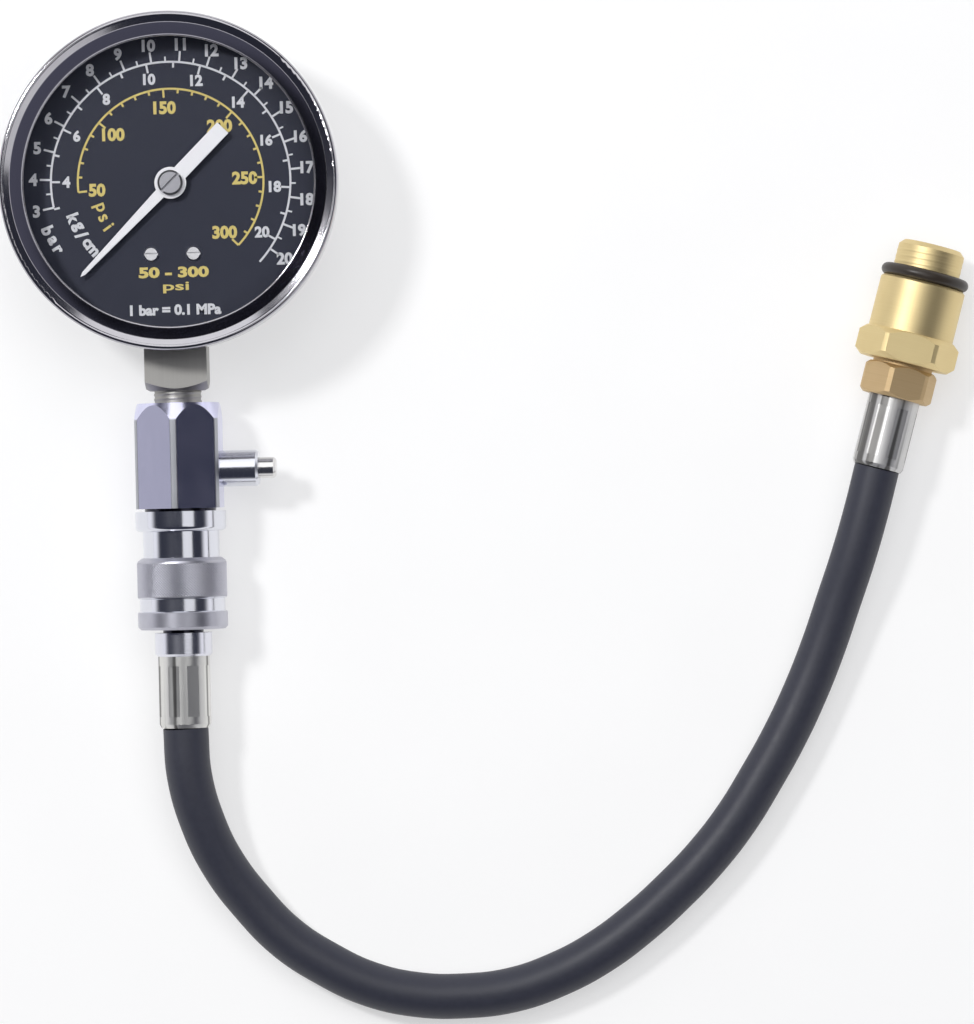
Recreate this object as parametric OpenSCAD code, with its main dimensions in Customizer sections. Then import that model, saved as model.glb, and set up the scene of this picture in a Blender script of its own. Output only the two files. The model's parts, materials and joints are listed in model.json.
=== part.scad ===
// Engine compression tester: a dial gauge on a hex valve body with a bleed button,
// a ball-lock coupler, a rubber hose and a brass spark plug adapter.
// Frame: origin at the middle of the case back, +Z out of the dial,
// +Y towards twelve o'clock. The stem runs along -Y and the hose lies on z = 0.

/* [Gauge head] */
// Outside diameter of the bezel
bezel_d = 70; // [68:0.5:76]
// Width of the bezel seen from the front
bezel_w = 5; // [4:0.1:6]
// Depth from the case back to the front of the bezel
gauge_depth = 30; // [29:0.5:36]
// Sheet thickness of the case and of the bezel skirt
sheet_t = 0.8; // [0.6:0.1:1]
// Radius of the round edge of the case back
case_corner_r = 3; // [1.5:0.1:3.4]
// Thickness of the lens
lens_t = 2; // [1.5:0.1:2.8]
// Thickness of the rubber seal under the lens
lens_seal_t = 0.8; // [0.5:0.1:1.2]
// Distance from the lens down to the dial face
dial_drop = 5.4; // [5.2:0.1:6.2]
// Thickness of the dial plate
dial_t = 0.6; // [0.4:0.1:0.8]
// Length of the spacers between the movement and the dial
dial_spacer_len = 2; // [1.6:0.1:2.6]
// Half spacing of the two dial screws
dial_screw_x = 4.4; // [4:0.1:5]
// Distance of the dial screws below the middle of the dial
dial_screw_drop = 14.7; // [14:0.1:15.4]

/* [Pointer] */
// Reach of the pointer from the middle to its tip
pointer_reach = 27; // [22:0.5:28]
// Length of the pointer tail
pointer_tail = 15.8; // [10:0.2:18]
// Width of the pointer tail
pointer_tail_w = 3.2; // [2.4:0.1:4]
// Diameter of the round eye of the pointer
pointer_eye_d = 6.6; // [6:0.1:9]
// Thickness of the pointer
pointer_t = 0.5; // [0.3:0.1:0.8]
// Diameter of the slotted boss on the pointer
boss_d = 5.2; // [4.4:0.1:6]
// Angle of the zero mark, counted from three o'clock
zero_angle = 225; // [200:1:250]
// Angle that the pointer sweeps from zero to full scale
sweep_angle = 270; // [200:5:280]

/* [Movement] */
// Tooth module of the pinion and the sector
tooth_module = 0.3; // [0.28:0.01:0.32]
// Teeth of the pinion
pinion_teeth = 12; // [11:1:12]
// Teeth of the full circle that the sector is part of
sector_teeth = 96; // [90:1:100]
// Direction from the pinion to the sector pivot
sector_side = 300; // [296:1:304]
// Thickness of the movement plates
plate_t = 1; // [0.8:0.1:1.1]
// Distance between the movement plates
plate_gap = 6; // [5.8:0.1:6.2]
// Diameter of the pointer arbor
arbor_d = 1.6; // [1.4:0.1:1.8]
// Length of the sector tail that the link pulls
tail_reach = 9.8; // [9:0.1:10.4]
// Height of the flat Bourdon tube section
tube_h = 8; // [7:0.2:8.4]
// Thickness of the flat Bourdon tube section
tube_w = 3; // [2.6:0.1:3.4]
// Wall of the Bourdon tube
tube_wall = 0.4; // [0.3:0.05:0.6]
// Arc of the Bourdon tube
tube_arc = 270; // [262:1:272]

/* [Stem and valve body] */
// Height of the stem axis above the case back
stem_z = 11; // [10.8:0.1:11.4]
// Width of the square stem
stem_w = 13; // [12:0.2:13.4]
// Length of the square stem below the case
stem_len = 10; // [8:0.5:14]
// Diameter of the stem thread
stem_thread_d = 9.7; // [9:0.1:10.4]
// Length of the stem thread
stem_thread_len = 10.4; // [9:0.1:10.8]
// Thread left open between the stem and the hex body
thread_gap = 2.6; // [1:0.1:4]
// Width across the flats of the hex body
hex_af = 17.5; // [15.5:0.5:18]
// Turn of the hex body on its thread, which tilts the bleed valve up
hex_turn = 4; // [-10:1:10]
// Length of the hex body
hex_len = 22; // [21:0.5:26]
// Depth turned off the long corners of the hexes
hex_round = 0.3; // [0.1:0.05:0.5]
// Depth of the corner bevel at the top of the hex body
hex_bevel = 3.6; // [1:0.1:4.5]
// Diameter of the air passage
bore_d = 4; // [3:0.1:4.6]

/* [Bleed valve] */
// Distance of the bleed valve below the top of the hex body
bleed_drop = 13.9; // [13.4:0.1:14.2]
// Outside diameter of the bleed barrel
bleed_barrel_d = 7.6; // [6.6:0.1:8]
// Length of the bleed barrel outside the hex body
bleed_barrel_len = 8; // [6.5:0.1:9]
// Diameter of the bleed button
bleed_button_d = 4.4; // [4:0.1:4.6]
// Travel of the bleed button
bleed_travel = 2; // [1.2:0.1:2.4]

/* [Quick coupler] */
// Diameter of the round collar under the hex body
collar_d = 19; // [17.6:0.1:20]
// Length of the round collar
collar_len = 4.8; // [3.5:0.1:6]
// Diameter of the neck that the sleeve slides on
neck_d = 16; // [15.8:0.1:16.4]
// Outside diameter of the coupler sleeve
sleeve_d = 18.8; // [18.2:0.1:20]
// Length of the coupler sleeve
sleeve_len = 15; // [14.8:0.1:16]
// Length of the knurled part of the sleeve
knurl_len = 8.4; // [7:0.1:9.4]
// Depth of the knurl grooves
knurl_depth = 0.35; // [0.2:0.05:0.5]
// Number of knurl ridges
knurl_count = 60; // [40:1:72]
// Length of the polished groove in the sleeve
sleeve_groove_len = 2.9; // [2:0.1:3.4]
// Travel of the sleeve towards the gauge
sleeve_travel = 3.5; // [2.5:0.1:3.8]
// Diameter of the locking balls
ball_d = 3; // [2.8:0.1:3]
// Number of locking balls
ball_count = 6; // [4:1:7]
// Diameter of the plug nose that goes into the coupler
plug_d = 8.5; // [8.3:0.1:8.7]
// Diameter of the round collar of the plug
plug_collar_d = 12; // [11:0.5:13]
// Length of the round collar of the plug
plug_collar_len = 4.9; // [4:0.1:7]

/* [Hose] */
// Outside diameter of the hose
hose_d = 9.5; // [9:0.1:9.6]
// Outside diameter of the crimp ferrules
ferrule_d = 10.8; // [10.5:0.1:11.6]
// Length of the crimp ferrules
ferrule_len = 15; // [13:0.5:18]
// Depth of the crimp flats
crimp_depth = 0.15; // [0.1:0.05:0.35]
// Diameter of the barbed tails inside the ferrules
barb_d = 5.2; // [4.8:0.1:5.6]

/* [Spark plug adapter] */
// Width across the flats of the hex on the hose end
end_af = 14; // [13.5:0.5:16]
// Turn of the hex on the hose end from flat side up
end_hex_turn = 12; // [0:1:30]
// Length of the hex on the hose end
end_hex_len = 6.7; // [5:0.1:8]
// Width across the flats of the adapter hex
adapter_af = 19; // [18.6:0.2:21]
// Length of the adapter hex
adapter_hex_len = 6.3; // [5:0.1:8]
// Diameter of the round adapter body
adapter_body_d = 18; // [17:0.2:18.4]
// Length of the round adapter body
adapter_body_len = 11.1; // [10.4:0.1:14]
// Diameter of the spark plug thread
tip_thread_d = 14; // [13.6:0.1:14.4]
// Length of the spark plug thread
tip_thread_len = 5.5; // [5:0.1:12]
// Section of the O-ring
oring_t = 2.5; // [2:0.1:2.6]
// Diameter of the thread between the hose end and the adapter
joint_thread_d = 10; // [9:0.2:11]
// Length of the thread between the hose end and the adapter
joint_thread_len = 12; // [10:0.2:12.4]
// Diameter of the check valve core
core_d = 5.2; // [5:0.1:5.6]
// Travel of the check valve pin
core_travel = 1; // [0.5:0.1:1.4]

/* [Fits] */
// Radial clearance of a shaft that turns
run_gap = 0.03; // [0.02:0.01:0.06]
// Radial clearance of a sliding piece
slide_gap = 0.04; // [0.02:0.01:0.05]
// Radial clearance of a thread or a seated piece
seat_gap = 0.04; // [0.02:0.01:0.08]

/* [Hidden] */
$fn = 96;

chrome = [0.82, 0.83, 0.85];
nickel = [0.72, 0.73, 0.75];
steel = [0.6, 0.61, 0.63];
brass = [0.8, 0.66, 0.36];
rubber = [0.1, 0.1, 0.12];
dial_black = [0.06, 0.07, 0.11];
white = [0.92, 0.92, 0.92];
glass = [0.8, 0.88, 0.92, 0.3];

// Length that a cut runs past the face it opens
past = 1;

// Gauge head
skirt_gap = 0.1;
rim_w = 1.1;
lens_inset = 3.6;
pointer_lift = 1.4;
bezel_r = bezel_d / 2;
window_r = bezel_r - bezel_w;
rim_r = bezel_r - sheet_t - skirt_gap;
case_r = rim_r - rim_w;
case_in_r = case_r - sheet_t;
lens_front = gauge_depth - lens_inset;
lens_back = lens_front - lens_t;
rim_z = lens_back - lens_seal_t;
dial_z = lens_back - dial_drop;
dial_back = dial_z - dial_t;
pointer_z = dial_z + pointer_lift;
pointer_top = pointer_z + pointer_t;
bush_d = arbor_d + 1.4;

// Movement heights, from the dial down
gear_t = 1.2;
gear_lift = 2.2;
link_t = 0.8;
link_gap = 0.2;
front_plate_top = dial_back - dial_spacer_len;
front_plate_z = front_plate_top - plate_t;
plate_top = front_plate_z - plate_gap;
pad_z = plate_top - plate_t;
spring_z = plate_top + 0.4;
gear_z = plate_top + gear_lift;
link_z = gear_z + gear_t + link_gap;

// Gear train: the sector swings while the pointer makes its sweep
pinion_r = tooth_module * pinion_teeth / 2;
sector_r = tooth_module * sector_teeth / 2;
gear_ratio = sector_teeth / pinion_teeth;
sector_swing = sweep_angle / gear_ratio;
sector_x = (pinion_r + sector_r) * cos(sector_side);
sector_y = (pinion_r + sector_r) * sin(sector_side);
sector_mid = sector_side - 180;
tail_rest = -sector_swing / 2 - 10;
hair_angle = 60;
hair_out_r = 5.4;

// Bourdon tube and its moving tip
link_pin_d = 1.2;
link_eye_r = 1.5;
tube_inset = 7.2;
tube_r = case_in_r - tube_inset;
tube_start = 255;
tube_end = tube_start - tube_arc;
tip_arc = 14;
tip_pin_r = tube_r - 0.4;
tip_pin_angle = tube_end - 9;
tip_x = tip_pin_r * cos(tip_pin_angle);
tip_y = tip_pin_r * sin(tip_pin_angle);
tail_x = sector_x + tail_reach * cos(tail_rest);
tail_y = sector_y + tail_reach * sin(tail_rest);
link_len = sqrt(pow(tip_x - tail_x, 2) + pow(tip_y - tail_y, 2));
link_angle = atan2(tip_y - tail_y, tip_x - tail_x);

// Socket block, movement plates and the screws that hold them
socket_w = stem_w + 3;
socket_wall = 1.3;
socket_near = tube_r - tube_w / 2 - socket_wall;
socket_far = sqrt(pow(case_in_r, 2) - pow(socket_w / 2, 2)) - 0.2;
socket_top = stem_z + tube_h / 2 + 1;
pad_len = 5.2;
plate_corner_r = 2;
plate_left = -9.5;
plate_right = 12.5;
plate_high = 6.6;
plate_low = 1.8 - socket_near;
pillar_d = 2.6;
pillar_spots = [[-7, 2.4], [10, 3.6], [-7, -13]];
plate_screw_d = 2;
plate_screw_len = 4.5;
plate_screw_x = 5.5;
plate_screw_y = 3.4 - socket_near;
case_screw_d = 3;
case_screw_len = 5;
case_screw_x = 5;
case_screw_y = 6.2 - case_in_r;
countersink_d = 5.4;
dial_screw_d = 1.8;
screw_head_d = 3.2;
screw_slot_w = 0.5;

// Places along the stem, counted from the dial middle
stem_edge = stem_w / 2 - 0.7;
stem_cut = 0.55;
stem_end = case_r + stem_len;
hex_at = stem_end + thread_gap;
bleed_at = hex_at + bleed_drop;
collar_at = hex_at + hex_len;
neck_at = collar_at + collar_len;
sleeve_at = neck_at + sleeve_travel + 2;
sleeve_front = sleeve_at + sleeve_len;
plug_collar_at = sleeve_front + 0.7;
ferrule_at = plug_collar_at + plug_collar_len;
hose_at = ferrule_at + ferrule_len;
spigot_len = 5.8;

// Places along the bleed valve, counted from the stem axis
bleed_seat_d = 5;
bleed_pin_d = 1.6;
bleed_seal_t = 1.4;
bleed_seat = hex_af / 2 - 2.5;
bleed_out = hex_af / 2 + bleed_barrel_len;
bleed_step = hex_af / 2 + 1.5;
bleed_spring_len = bleed_travel + 1.2;
bleed_button_out = bleed_travel + 1.6;
bleed_bore_d = 4.2;

// Inside the coupler
barrel_wall = 2.45;
ball_inset = 4.9;
recess_depth = 1.15;
ring_groove = 0.4;
ring_t = 0.9;
seal_t = 2;
seal_w = 1.5;
barrel_d = plug_d + 2 * barrel_wall;
land_d = barrel_d + 2 * slide_gap;
ball_at = sleeve_front - ball_inset;
ball_ring_r = land_d / 2 - ball_d / 2 - 0.02;
land_at = ball_at - ball_d / 2;
land_end = ball_at + ball_d / 2;
recess_d = land_d + 2 * recess_depth;
chamber_d = neck_d + 2 * slide_gap;
neck_end = sleeve_at + 2.6;
ring_at = land_end + 0.1;
barrel_end = sleeve_front - 0.8;
plug_nose_at = neck_at + 2.5;
seal_at = plug_nose_at + 3;
plug_bore_d = bore_d - 0.8;

// Hose route: points from the hose mouth, with the height above z = 0
route = [[0, 0, 11], [0.5, -10, 10.5], [3, -20, 9], [7, -29, 7], [13, -37.5, 5.5], [20, -45, 5],
  [28, -50.5, 5], [37, -55, 5], [47, -57.5, 5], [57, -58, 5], [67, -57, 5], [76.5, -54, 5],
  [85.5, -49.5, 5], [94, -43.5, 5], [101.5, -37, 5], [108.5, -30, 5], [115, -22, 5], [120.5, -13.5, 5],
  [125.5, -5, 5], [130, 4, 5], [134, 13.5, 5.5], [137.4, 23, 6.5], [140.7, 32.5, 8], [143.6, 42, 9],
  [146, 50.9, 9.5]];
route_turn = 15.5;
hose_sides = 12;
adapter_z = adapter_af / 2;
last = len(route) - 1;
hose_points = [for (i = [0:last]) [route[i][0], route[i][1] - hose_at,
  i == 0 ? stem_z : i == last ? adapter_z : route[i][2]]];
hose_end = hose_points[last];

// Places along the adapter, counted from the hose end
joint_gap = 0.8;
end_hex_at = ferrule_len;
adapter_at = end_hex_at + end_hex_len + joint_gap;
adapter_body_at = adapter_at + adapter_hex_len;
oring_at = adapter_body_at + adapter_body_len;
oring_seat_d = tip_thread_d - 1.2;
tip_at = oring_at + oring_t + 0.04;
tip_end = tip_at + tip_thread_len;
adapter_bore_d = 4.2;
core_recess = core_travel + 2;
core_len = core_recess + 3;
core_out = tip_end - 1;
core_in = core_out - core_len;
core_bore_d = 1.5;
core_head_d = 3.2;
core_head_t = 1.15;
core_button_t = 0.6;

// Gear tooth outline
function roll(a) = tan(a) * 180 / PI - a;
function tooth_half(z, play, r) =
  let (base = tooth_module * z / 2 * cos(20), a = r <= base ? 0 : acos(base / r))
  90 / z - play + roll(20) - roll(a);
function tooth(z, play, at, radii) = concat(
  [for (r = radii) r * [cos(at - tooth_half(z, play, r)), sin(at - tooth_half(z, play, r))]],
  [for (i = [len(radii) - 1:-1:0])
    let (r = radii[i]) r * [cos(at + tooth_half(z, play, r)), sin(at + tooth_half(z, play, r))]]);
function flank(z, up, down) =
  let (p = tooth_module * z / 2)
  [p - down * tooth_module, p - 0.3 * tooth_module, p, p + 0.4 * up * tooth_module, p + up * tooth_module];

// Swept ring points for springs and the hose
function unit(v) = v / norm(v);
function ring_points(c, t, r, n) =
  let (s = unit(cross(t, abs(t[2]) > 0.9 * norm(t) ? [1, 0, 0] : [0, 0, 1])), u = unit(cross(s, t)))
  [for (k = [0:n - 1]) c + r * (cos(360 * k / n) * s + sin(360 * k / n) * u)];
function side_faces(rings, n) = [for (i = [0:rings - 2]) for (k = [0:n - 1]) for (h = [0, 1])
  let (a = i * n + k, b = i * n + (k + 1) % n)
  h == 0 ? [a, b, b + n] : [a, b + n, a + n]];
function cap_faces(rings, n) = [
  [for (k = [n - 1:-1:0]) k],
  [for (k = [0:n - 1]) (rings - 1) * n + k]];

module sweep(points, tangents, r, n) {
  rings = len(points);
  polyhedron(points = [for (i = [0:rings - 1]) each ring_points(points[i], tangents[i], r, n)],
    faces = concat(side_faces(rings, n), cap_faces(rings, n)));
}

// Coil spring that stands on z = 0
module coil(mean_r, wire, height, turns, steps) {
  count = turns * steps;
  rise = height - wire;
  points = [for (i = [0:count]) [mean_r * cos(360 * i / steps), mean_r * sin(360 * i / steps),
    wire / 2 + rise * i / count]];
  tangents = [for (i = [0:count]) [-sin(360 * i / steps), cos(360 * i / steps),
    rise / (2 * PI * mean_r * turns)]];
  sweep(points, tangents, wire / 2, 6);
}

module pipe(od, id, h) {
  difference() {
    cylinder(d = od, h = h);
    translate([0, 0, -past]) cylinder(d = id, h = h + 2 * past);
  }
}

module hex(af, h) {
  rotate([0, 0, 30]) cylinder(d = af / cos(30), h = h, $fn = 6);
}

// Hex prism with its corners turned down by the given heights
module turned_hex(af, h, low, high) {
  corner = af / cos(30) / 2 - hex_round;
  edge = af / 2 - 0.15;
  intersection() {
    hex(af, h);
    rotate_extrude() polygon([[0, 0], [low > 0 ? edge : corner, 0], [corner, low], [corner, h - high],
      [high > 0 ? edge : corner, h], [0, h]]);
  }
}

// Round bar with its top edge turned down by the given width and height
module turned_bar(d, h, cut, cut_h) {
  cylinder(d = d, h = h - cut_h);
  translate([0, 0, h - cut_h]) cylinder(d1 = d, d2 = d - 2 * cut, h = cut_h);
}

// Child +Z turned onto the stem direction, at a distance from the dial middle
module on_stem(at) {
  translate([0, -at, stem_z]) rotate([90, 0, 0]) children();
}

// Child +Z turned onto the bleed valve direction, at a distance from the stem axis
module on_bleed(at) {
  translate([0, -bleed_at, stem_z]) rotate([0, -hex_turn, 0]) translate([at, 0, 0]) rotate([0, 90, 0])
    children();
}

// Child +Z turned onto the adapter direction, at a distance from the hose end
module on_adapter(at) {
  translate(hose_end) rotate([0, 0, -route_turn]) rotate([-90, 0, 0]) translate([0, 0, at]) children();
}

// Child set at both ends of a mirrored pair of screw places
module both_sides(x, y) {
  for (side = [-1, 1]) translate([side * x, y, 0]) children();
}

// Slotted cheese head that stands on z = 0
module slotted_head(d1, d2, h, slot_depth) {
  difference() {
    cylinder(d1 = d1, d2 = d2, h = h);
    translate([-d1, -screw_slot_w / 2, h - slot_depth]) cube([2 * d1, screw_slot_w, past + slot_depth]);
  }
}

// Half section of a cup with a round lower edge
module cup_section(r, h, corner) {
  square([r - corner, h]);
  translate([0, corner]) square([r, h - corner]);
  translate([r - corner, corner]) circle(r = corner);
}

module gauge_case() {
  hole_w = stem_w + 0.2;
  color(chrome) difference() {
    rotate_extrude() difference() {
      union() {
        cup_section(case_r, rim_z, case_corner_r);
        translate([case_in_r, rim_z - sheet_t]) square([rim_r - case_in_r, sheet_t]);
      }
      translate([0, sheet_t]) cup_section(case_in_r, rim_z, case_corner_r - sheet_t);
    }
    translate([-hole_w / 2, -case_r - past, stem_z - hole_w / 2]) cube([hole_w, stem_w / 2, hole_w]);
    both_sides(case_screw_x, case_screw_y) translate([0, 0, -0.01])
      cylinder(d1 = countersink_d, d2 = countersink_d - 2 * sheet_t, h = sheet_t + 0.02);
  }
}

module bezel_ring() {
  skirt_roll = 1.6;
  edge_r = 0.7;
  face_w = 1.5;
  face_drop = 0.5;
  lip = 0.3;
  lip_r = window_r + lip;
  lip_top = lens_front + 2 * lip;
  face_r = bezel_r - edge_r - face_w;
  skirt_z = rim_z - sheet_t - skirt_roll;
  color(chrome) rotate_extrude() {
    translate([bezel_r - sheet_t, skirt_z]) square([sheet_t, gauge_depth - edge_r - skirt_z]);
    translate([bezel_r - edge_r, gauge_depth - edge_r]) circle(r = edge_r);
    polygon([[lip_r, lens_front], [bezel_r, lens_front], [bezel_r, gauge_depth - edge_r],
      [bezel_r - edge_r, gauge_depth], [face_r, gauge_depth - face_drop], [lip_r, lip_top]]);
    translate([lip_r, lens_front + lip]) circle(r = lip);
  }
}

module lens() {
  color(glass) translate([0, 0, lens_back]) cylinder(r = rim_r - 0.02, h = lens_t);
}

module lens_seal() {
  color(rubber) translate([0, 0, rim_z]) pipe(2 * rim_r - 0.1, 2 * case_in_r + 0.1, lens_seal_t);
}

module dial_plate() {
  color(dial_black) translate([0, 0, dial_back]) difference() {
    cylinder(r = case_in_r - 0.3, h = dial_t);
    translate([0, 0, -past]) cylinder(d = bush_d + 2, h = dial_t + 2 * past);
    both_sides(dial_screw_x, -dial_screw_drop) translate([0, 0, -past])
      cylinder(d = dial_screw_d + 2 * seat_gap, h = dial_t + 2 * past);
  }
}

module dial_screws() {
  color(steel) both_sides(dial_screw_x, -dial_screw_drop) {
    translate([0, 0, front_plate_z - 0.2]) cylinder(d = dial_screw_d, h = dial_z - front_plate_z + 0.3);
    translate([0, 0, dial_z]) slotted_head(screw_head_d, screw_head_d - 0.6, 0.8, 0.4);
  }
}

module dial_spacers() {
  color(brass) both_sides(dial_screw_x, -dial_screw_drop) translate([0, 0, front_plate_top])
    pipe(screw_head_d + 0.2, dial_screw_d + 2 * seat_gap, dial_spacer_len);
}

module pointer() {
  root_w = 2.4;
  tip_w = 0.8;
  point_len = 1;
  neck = pointer_reach - point_len;
  color(white) rotate([0, 0, zero_angle]) translate([0, 0, pointer_z]) difference() {
    linear_extrude(pointer_t) {
      circle(d = pointer_eye_d);
      polygon([[0, -root_w / 2], [neck, -tip_w / 2], [pointer_reach, 0], [neck, tip_w / 2], [0, root_w / 2]]);
      translate([-pointer_tail, -pointer_tail_w / 2]) square([pointer_tail, pointer_tail_w]);
    }
    translate([0, 0, -past]) cylinder(d = bush_d + 2 * seat_gap, h = pointer_t + 2 * past);
  }
}

module pointer_boss() {
  head_h = 1.4;
  slot_w = 0.7;
  slot_depth = 0.6;
  low = dial_z + 0.6;
  color(steel) rotate([0, 0, zero_angle]) difference() {
    union() {
      translate([0, 0, low]) cylinder(d = bush_d, h = pointer_top - low + 0.2);
      translate([0, 0, pointer_top]) turned_bar(boss_d, head_h, 0.4, 0.4);
    }
    translate([0, 0, dial_z]) cylinder(d = arbor_d + 2 * seat_gap, h = pointer_top - dial_z + 0.6);
    translate([-boss_d, -slot_w / 2, pointer_top + head_h - slot_depth])
      cube([2 * boss_d, slot_w, slot_depth + past]);
  }
}

module pinion_arbor() {
  play = 1.2;
  rest = sector_side + sweep_angle / 2 + 180 / pinion_teeth;
  low = pad_z + 0.1;
  color(steel) {
    translate([0, 0, low]) cylinder(d = arbor_d, h = pointer_top + 0.6 - low);
    translate([0, 0, gear_z - 0.4]) linear_extrude(gear_t + 0.8) polygon([for (i = [0:pinion_teeth - 1])
      each tooth(pinion_teeth, play, rest + 360 * i / pinion_teeth, flank(pinion_teeth, 0.8, 1.15))]);
  }
}

module hairspring() {
  turns = 3;
  steps = 24;
  collet_r = 1.7;
  strip_t = 0.2;
  strip_h = 0.8;
  first_r = collet_r - 0.3;
  count = turns * steps;
  function at(i, off) = let (r = first_r + (hair_out_r - first_r) * i / count + off)
    r * [cos(hair_angle + 360 * i / steps), sin(hair_angle + 360 * i / steps)];
  color(brass) translate([0, 0, spring_z]) {
    pipe(2 * collet_r, arbor_d + 2 * seat_gap, strip_h);
    linear_extrude(strip_h) polygon(concat([for (i = [0:count]) at(i, -strip_t / 2)],
      [for (i = [count:-1:0]) at(i, strip_t / 2)]));
  }
}

module sector_gear() {
  play = 0.1;
  hub_d = 4.4;
  tail_w = 2;
  half = ceil((sector_swing / 2 + 7) * sector_teeth / 360);
  rest = sector_mid - sector_swing / 2;
  color(brass) translate([sector_x, sector_y, 0]) {
    translate([0, 0, pad_z + 0.1]) cylinder(d = arbor_d, h = plate_gap + 2 * plate_t - 0.2);
    translate([0, 0, gear_z - 0.8]) cylinder(d = hub_d, h = gear_t + 1.2);
    translate([0, 0, gear_z]) linear_extrude(gear_t) {
      difference() {
        polygon(concat([[0, 0]], [for (i = [-half:half])
          each tooth(sector_teeth, play, rest + 360 * i / sector_teeth, flank(sector_teeth, 0.7, 1.2))]));
        rotate([0, 0, rest]) translate([sector_r * 0.62, 0]) circle(r = sector_r * 0.14);
      }
      rotate([0, 0, tail_rest]) translate([0, -tail_w / 2]) square([tail_reach, tail_w]);
      rotate([0, 0, tail_rest]) translate([tail_reach, 0]) circle(r = link_eye_r);
    }
    rotate([0, 0, tail_rest]) translate([tail_reach, 0, gear_z])
      cylinder(d = link_pin_d, h = link_z + link_t - gear_z + 0.3);
  }
}

module pull_link() {
  bar_w = 1.6;
  free_eye_r = 2;
  free_hole_d = 2 * link_pin_d;
  color(steel) translate([tail_x, tail_y, link_z]) rotate([0, 0, link_angle]) difference() {
    linear_extrude(link_t) {
      translate([0, -bar_w / 2]) square([link_len, bar_w]);
      circle(r = link_eye_r);
      translate([link_len, 0]) circle(r = free_eye_r);
    }
    translate([0, 0, -past]) cylinder(d = link_pin_d + 2 * run_gap, h = link_t + 2 * past);
    translate([link_len, 0, -past]) cylinder(d = free_hole_d, h = link_t + 2 * past);
  }
}

module tube_tip() {
  shell = 0.4;
  low = stem_z - tube_h / 2 + 0.5;
  color(brass) {
    rotate([0, 0, tube_end - tip_arc - 0.05]) rotate_extrude(angle = tip_arc)
      translate([tube_r - tube_w / 2 - shell, low]) square([tube_w + 2 * shell, link_z - 0.3 - low]);
    translate([tip_x, tip_y, low]) cylinder(d = link_pin_d, h = link_z + link_t + 0.3 - low);
  }
}

// Flat oval section of the Bourdon tube
module oval(w, h) {
  translate([-w / 2, -(h - w) / 2]) square([w, h - w]);
  for (y = [-1, 1]) translate([0, y * (h - w) / 2]) circle(d = w);
}

module bourdon_tube() {
  color(brass) rotate([0, 0, tube_end]) rotate_extrude(angle = tube_arc) translate([tube_r, stem_z])
    difference() {
      oval(tube_w, tube_h);
      oval(tube_w - 2 * tube_wall, tube_h - 2 * tube_wall);
    }
}

module stem_socket() {
  air_d = 2;
  tube_grip = 14;
  block_len = socket_far - socket_near;
  screw_top_d = countersink_d - 2 * sheet_t;
  color(brass) difference() {
    union() {
      translate([-socket_w / 2, -socket_far, case_corner_r])
        cube([socket_w, block_len, socket_top - case_corner_r]);
      translate([-socket_w / 2, case_corner_r - socket_far, sheet_t])
        cube([socket_w, block_len - case_corner_r + pad_len, pad_z - sheet_t]);
      intersection() {
        translate([-stem_w / 2, -stem_end, stem_z - stem_w / 2])
          cube([stem_w, stem_end - socket_far + 2, stem_w]);
        on_stem(0) rotate_extrude() polygon([[0, 0], [stem_w, 0],
          [stem_w, stem_end - stem_cut * (stem_w - stem_edge)], [stem_edge, stem_end], [0, stem_end]]);
      }
      on_stem(stem_end - past) cylinder(d = stem_thread_d, h = stem_thread_len + past);
    }
    on_stem(tube_r - 2) cylinder(d = bore_d, h = stem_end + stem_thread_len - tube_r + 2 + past);
    translate([0, -tube_r + 0.6, stem_z]) rotate([0, -90, 0]) cylinder(d = air_d, h = stem_w / 2 - 0.5);
    rotate([0, 0, tube_start - tube_grip]) rotate_extrude(angle = tube_grip + 0.1) translate([tube_r, stem_z])
      oval(tube_w + 2 * seat_gap, tube_h + 2 * seat_gap);
    both_sides(case_screw_x, case_screw_y) {
      translate([0, 0, sheet_t - past]) cylinder(d = case_screw_d + 2 * seat_gap, h = case_screw_len + 0.4);
      translate([0, 0, sheet_t - 0.01])
        cylinder(d1 = screw_top_d, d2 = case_screw_d, h = (screw_top_d - case_screw_d) / 2);
    }
    both_sides(plate_screw_x, plate_screw_y) translate([0, 0, pad_z - plate_screw_len - 0.5])
      cylinder(d = plate_screw_d + 2 * seat_gap, h = plate_screw_len + 0.5 + past);
  }
}

// Outline and pivot holes that both movement plates share
module plate_blank() {
  w = plate_right - plate_left;
  h = plate_high - plate_low;
  r = plate_corner_r;
  difference() {
    translate([plate_left, plate_low, 0]) linear_extrude(plate_t) {
      translate([0, r]) square([w, h - 2 * r]);
      translate([r, 0]) square([w - 2 * r, h]);
      for (x = [r, w - r]) for (y = [r, h - r]) translate([x, y]) circle(r = r);
    }
    for (p = [[0, 0], [sector_x, sector_y]]) translate([p[0], p[1], -past])
      cylinder(d = arbor_d + 2 * run_gap, h = plate_t + 2 * past);
  }
}

module back_plate() {
  stud_d = 1.3;
  color(brass) translate([0, 0, pad_z]) {
    difference() {
      plate_blank();
      both_sides(plate_screw_x, plate_screw_y) translate([0, 0, -past])
        cylinder(d = plate_screw_d + 2 * seat_gap, h = plate_t + 2 * past);
    }
    rotate([0, 0, hair_angle]) translate([hair_out_r + 0.15 + stud_d / 2, 0, plate_t])
      cylinder(d = stud_d, h = 1.6);
  }
}

module front_plate() {
  color(brass) translate([0, 0, front_plate_z]) difference() {
    plate_blank();
    both_sides(dial_screw_x, -dial_screw_drop) translate([0, 0, -past])
      cylinder(d = dial_screw_d + 2 * seat_gap, h = plate_t + 2 * past);
  }
}

module plate_pillars() {
  color(brass) for (p = pillar_spots) translate([p[0], p[1], plate_top])
    cylinder(d = pillar_d, h = plate_gap);
}

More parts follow.
